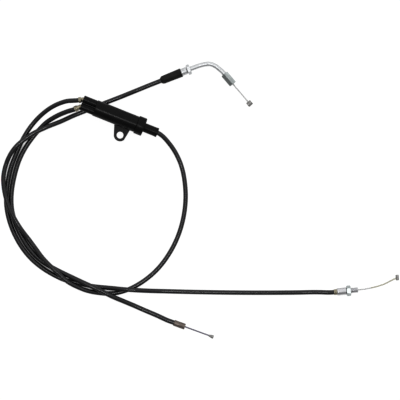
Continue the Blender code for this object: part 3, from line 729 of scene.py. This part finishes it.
def make_box_body():
    """The body with its hollow, two ports joined by a web, and the fixing lug."""
    body = turned("box_body_look", [
        (17.4, 0.0), (17.4, 7.2), (71.0, 7.2), (71.0, 8.4), (64.1, 8.4), (64.1, 9.0, 0.2), (15.4, 9.0, 0.8),
        (15.4, 0.0),
    ], BOX, False, 96)
    for side in (1, -1):
        port = turned("port", [(16.4, 0.0), (16.4, 4.2), (0.0, 4.2, 0.35), (0.0, 0.0)], BOX, False, 64,
                      side * PORT_OFFSET)
        boolean(body, "UNION", port)
    web = [(x, y, z) for x in (0.5, 15.9) for y in (-1.5, 1.5) for z in (-2.0, 2.0)]
    sides = [(0, 1, 3, 2), (4, 5, 7, 6), (0, 1, 5, 4), (2, 3, 7, 6), (0, 2, 6, 4), (1, 3, 7, 5)]
    boolean(body, "UNION", solid("web", web, sides, BOX))
    boolean(body, "UNION", make_lug())
    for side in (1, -1):
        bore = turned("bore", [
            (18.4, 0.0), (18.4, 1.4), (12.0, 1.4), (12.0, 3.2), (3.0, 3.2), (0.5, 3.62, 0.6),
            (-0.6, 4.1), (-0.6, 0.0),
        ], BOX, False, 64, side * PORT_OFFSET)
        boolean(body, "DIFFERENCE", bore)
    stand_for(flat_shaded(body), "casing", "black_plastic", "box_body")


def lug_outline():
    """The lug's outline in the frame's XY plane, in millimetres: straight sides that touch a round end."""
    first, last = math.radians(180 + 21.65), math.radians(360 - 29.0)
    outline = [(60.9, -4.0), (40.2, -4.0)]
    for k in range(33):
        angle = first + (last - first) * k / 32
        outline.append((EYE_CENTRE[0] + EYE_RADIUS * math.cos(angle),
                        EYE_CENTRE[1] + EYE_RADIUS * math.sin(angle)))
    return outline


def make_lug():
    """The flat fixing lug with its eye."""
    outline = lug_outline()
    count = len(outline)
    points = [(x, y, -9.0) for x, y in outline] + [(x, y, -6.0) for x, y in outline]
    faces = [list(range(count)), list(range(count, 2 * count))]
    faces += [[k, (k + 1) % count, count + (k + 1) % count, count + k] for k in range(count)]
    lug = solid("lug", points, faces, BOX)
    upright = BOX @ Matrix.Translation((EYE_CENTRE[0] * MM, EYE_CENTRE[1] * MM, 0)) @ Matrix.Rotation(
        -math.pi / 2, 4, "Y")
    eye = turned("eye", [(-5.0, 0.0), (-5.0, EYE_HOLE_RADIUS), (-10.0, EYE_HOLE_RADIUS), (-10.0, 0.0)],
                 upright, False, 64)
    boolean(lug, "DIFFERENCE", eye)
    return bevelled(lug, 0.35, 3, 50)


def make_box_cap():
    cap = turned("box_cap_look", [
        (89.2, 5.2, 0.45), (87.2, 5.2, 0.3), (87.0, 5.0, 0.1), (73.3, 5.0, 0.5), (73.3, 10.1, 0.9),
        (64.4, 10.1, 0.7), (64.4, 8.7), (71.3, 8.7), (71.3, 1.4), (77.1, 1.4), (77.1, 3.6), (89.2, 3.6, 0.3),
    ], BOX, True, 96)
    stand_for(cap, "cap", "black_plastic", "box_cap")


def make_port_ferrules():
    """The end sleeves at the ports, each with a ball nose that sits in its port."""
    ball = 2.4
    sizes = {
        "pump": (PUMP_PORT, 2.5, 5.0, SHEATH_RADIUS),
        "carb": (CARB_PORT, 3.8, 6.85, CARB_SHEATH_RADIUS),
    }
    for name, (place, start, end, sheath) in sizes.items():
        nose = []
        for k in range(15):
            angle = math.radians(62 + 88 * k / 14)
            nose.append((ball * math.cos(angle), ball * math.sin(angle)))
        outer = sheath + 0.7
        ferrule = turned(f"{name}_port_ferrule_look", [
            (end, outer, 0.25), (end - 0.55, outer), (end - 0.7, outer - 0.06), (end - 0.95, outer - 0.06),
            (end - 1.1, outer), (start, outer, 0.6), (start - 0.5, outer - 0.55, 0.6), *nose,
            (nose[-1][0], 1.1), (start + 0.7, 1.1), (start + 0.7, sheath + 0.1), (end, sheath + 0.1, 0.1),
        ], place)
        stand_for(ferrule, "casing", "cream_zinc", f"{name}_port_ferrule")


# Throttle end

def make_throttle_end():
    barrel = turned("adjuster_barrel_look", [
        (-0.6, 4.0, 0.5), (-4.0, 4.0), (-4.15, 3.85), (-4.6, 3.85), (-4.75, 4.0), (-21.0, 4.0, 0.4),
        (-21.0, 3.5), (-9.4, 3.5), (-9.4, 1.4), (-8.7, 1.4), (-8.7, 3.3), (-0.6, 3.3, 0.15),
    ], THROTTLE, True, 72)
    stand_for(barrel, "barrel", "bright_zinc", "adjuster_barrel")
    boot = turned("rubber_boot_look", [
        (-6.9, 4.85, 0.5), (-8.6, 4.85, 0.6), (-9.0, 4.7, 0.4), (-9.6, 4.78, 0.5), (-28.2, 4.45, 1.5),
        (-29.6, 4.2, 1.5), (-30.3, 3.45, 0.5), (-31.2, 3.3, 0.25), (-31.2, 2.6), (-21.4, 2.6), (-21.4, 4.15),
        (-6.9, 4.15, 0.15),
    ], THROTTLE, True, 72, sharp=50)
    stand_for(boot, "boot", "rubber", "rubber_boot")
    nut = hexagon_nut("adjuster_lock_nut_look", 0.0, 3.6, NUT_ACROSS_FLATS, [
        (4.6, 0.0), (4.6, 3.9), (3.6, 3.75), (3.0, 3.15), (0.6, 3.15), (0.0, 3.75), (-1.0, 3.9), (-1.0, 0.0),
    ], THROTTLE)
    stand_for(nut, "throttle_lock_nut", "bright_zinc", "adjuster_lock_nut")


def make_elbow():
    route = [THROTTLE @ Vector((x * MM, 0, 0)) for x in (2.0, 3.9)]
    route += [Vector(point) for point in PIPE_ROUTE]
    route += [UNION @ Vector((x * MM, 0, 0)) for x in (-18.0, -14.5, -10.8)]
    pipe = swept("elbow_pipe_look", smooth_path(route, 0.8), 2.5, sides=40)
    thread = turned("elbow_thread", [(3.9, 2.7), (3.3, THREAD_RADIUS), (-8.0, THREAD_RADIUS), (-8.4, 2.6),
                                     (-8.4, 1.5), (3.9, 1.5)], THROTTLE, True, 64, thread=(-8.0, 3.3))
    collar = turned("elbow_collar", [(-10.7, 2.5), (-10.7, 3.1, 0.3), (-12.2, 3.1, 0.3), (-12.2, 2.4),
                                     (-11.0, 2.4), (-11.0, 1.3), (-10.7, 1.3)], UNION)
    stand_for(joined("elbow_pipe_look", [pipe, thread, collar]), "casing", "bright_zinc", "elbow_pipe")


def make_union():
    nut = hexagon_nut("union_nut_look", -UNION_LENGTH, 0.0, UNION_ACROSS_FLATS, [
        (1.0, 0.0), (1.0, 3.6), (0.0, 3.55), (-0.5, 3.4), (-12.5, 3.4), (-12.5, 2.8), (-14.2, 2.8),
        (-14.5, 2.95), (-15.5, 2.95), (-15.5, 0.0),
    ], UNION @ Matrix.Rotation(math.radians(UNION_TURN), 4, "X"), 1.1)
    stand_for(nut, "union", "grey_zinc", "union_nut")
    wire = stranded_wire("throttle_wire_look", straight_path(UNION, -16.5, 26.0))
    stand_for(wire, "throttle_inner", "wire_steel", "throttle_wire")
    barrel_nipple("throttle_nipple_look", UNION @ Matrix.Translation((28.2 * MM, 0, 0)), 2.7, 5.4,
                  "throttle_inner", "throttle_nipple")


def barrel_nipple(name, place, radius, width, body, node):
    """A die-cast barrel across the wire, with rounded rims and a shallow dish in each end."""
    half = width / 2
    outline = [(half - 0.25, 0.0), (half - 0.25, radius * 0.62), (half, radius * 0.7, 0.1),
               (half, radius, 0.3), (0.14, radius), (0.1, radius - 0.05), (-0.1, radius - 0.05),
               (-0.14, radius), (-half, radius, 0.3), (-half, radius * 0.7, 0.1),
               (0.25 - half, radius * 0.62), (0.25 - half, 0.0)]
    nipple = turned(name, outline, place @ Matrix.Rotation(math.pi / 2, 4, "Z"), False, 48)
    stand_for(nipple, body, "cast_zinc", node)


# Oil pump end

def make_pump_end():
    ferrule = turned("pump_end_ferrule_look", [
        (7.4, 3.1, 0.2), (-2.2, 3.1), (-2.4, 2.98), (-2.7, 2.98), (-2.9, 3.1), (-3.4, 3.1, 0.2), (-3.4, 2.6),
        (6.4, 2.6), (6.4, 1.1), (7.4, 1.1),
    ], PUMP)
    stand_for(ferrule, "casing", "cream_zinc", "pump_end_ferrule")
    adjuster = turned("pump_adjuster_look", [
        (23.2, 2.45), (22.7, THREAD_RADIUS), (10.3, THREAD_RADIUS), (10.3, 4.0, 0.4), (0.9, 4.0, 0.6),
        (0.0, 3.6, 0.12), (0.0, 3.4), (7.7, 3.4), (7.7, 1.3), (23.2, 1.3, 0.15),
    ], PUMP, True, 64, thread=(10.4, 22.7))
    stand_for(adjuster, "pump_thread", "polished_zinc", "pump_adjuster", slot="bright_zinc")
    nut = hexagon_nut("pump_lock_nut_look", 10.6, 15.1, NUT_ACROSS_FLATS, [
        (16.1, 0.0), (16.1, 3.9), (15.1, 3.75), (14.5, 3.15), (11.2, 3.15), (10.6, 3.75), (9.6, 3.9),
        (9.6, 0.0),
    ], PUMP)
    stand_for(nut, "pump_nut", "grey_zinc", "pump_lock_nut")


def make_pump_wire():
    """The bent free wire. Its outer part is greased."""
    direction = (PUMP_NIPPLE_CENTRE - Vector(PUMP_WIRE_ROUTE[-1])).normalized()
    route = [PUMP @ Vector((x * MM, 0, 0)) for x in (19.0, 22.0)]
    route += [Vector(point) for point in PUMP_WIRE_ROUTE] + [PUMP_NIPPLE_CENTRE - direction * 1.2 * MM]
    wire = stranded_wire("pump_wire_look", smooth_path(route, 0.5))
    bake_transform(wire)
    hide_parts("pump_wire")
    wire.data.materials.append(LOOKS["wire_steel"])
    wire.data.materials.append(LOOKS["greased_steel"])
    greased_from = PUMP_WIRE_ROUTE[1][0]
    for face in wire.data.polygons:
        face.material_index = int(face.center.x > greased_from)
    place = Matrix.Translation(PUMP_NIPPLE_CENTRE)
    place = place @ Matrix.Rotation(math.radians(PUMP_NIPPLE_HEADING), 4, "Z")
    barrel_nipple("pump_nipple_look", place, 1.7, 6.0, "pump_inner", "pump_nipple")


# Carburettor end

def make_carb_end():
    ferrule = turned("carb_end_ferrule_look", [
        (0.0, 3.3, 0.5), (-1.6, 3.3), (-1.8, 3.18), (-2.2, 3.18), (-2.4, 3.3), (-12.8, 3.3, 0.25),
        (-12.8, 2.7), (-5.5, 2.7), (-5.5, 1.1), (0.0, 1.1, 0.2),
    ], CARB)
    stand_for(ferrule, "casing", "brown_zinc", "carb_end_ferrule")
    wire = stranded_wire("carb_wire_look", straight_path(CARB, -1.5, 28.4))
    stand_for(wire, "carb_inner", "blue_steel", "carb_wire", slot="wire_steel")
    nipple = turned("carb_nipple_look", [
        (33.15, 0.0), (33.15, 1.0), (CARB_NIPPLE_END, 1.2, 0.1), (CARB_NIPPLE_END, 1.85, 0.25),
        (31.4, 1.85, 2.0), (27.9, 0.95, 0.15), (27.9, 0.0),
    ], CARB, False, 48)
    stand_for(nipple, "carb_inner", "cast_zinc", "carb_nipple")


def dress_hidden_nodes():
    """Give the CAD nodes that stay the same looks."""
    slots = {part["node"]: part["material_slot"] for part in frame["record"]["subparts"]}
    for name, node in frame["nodes"].items():
        node.data.materials.clear()
        node.data.materials.append(LOOKS[slots[name]])


make_camera()
make_studio()
make_floor()
dress_hidden_nodes()
make_sheaths()
make_box_body()
make_box_cap()
make_port_ferrules()
make_throttle_end()
make_elbow()
make_union()
make_pump_end()
make_pump_wire()
make_carb_end()
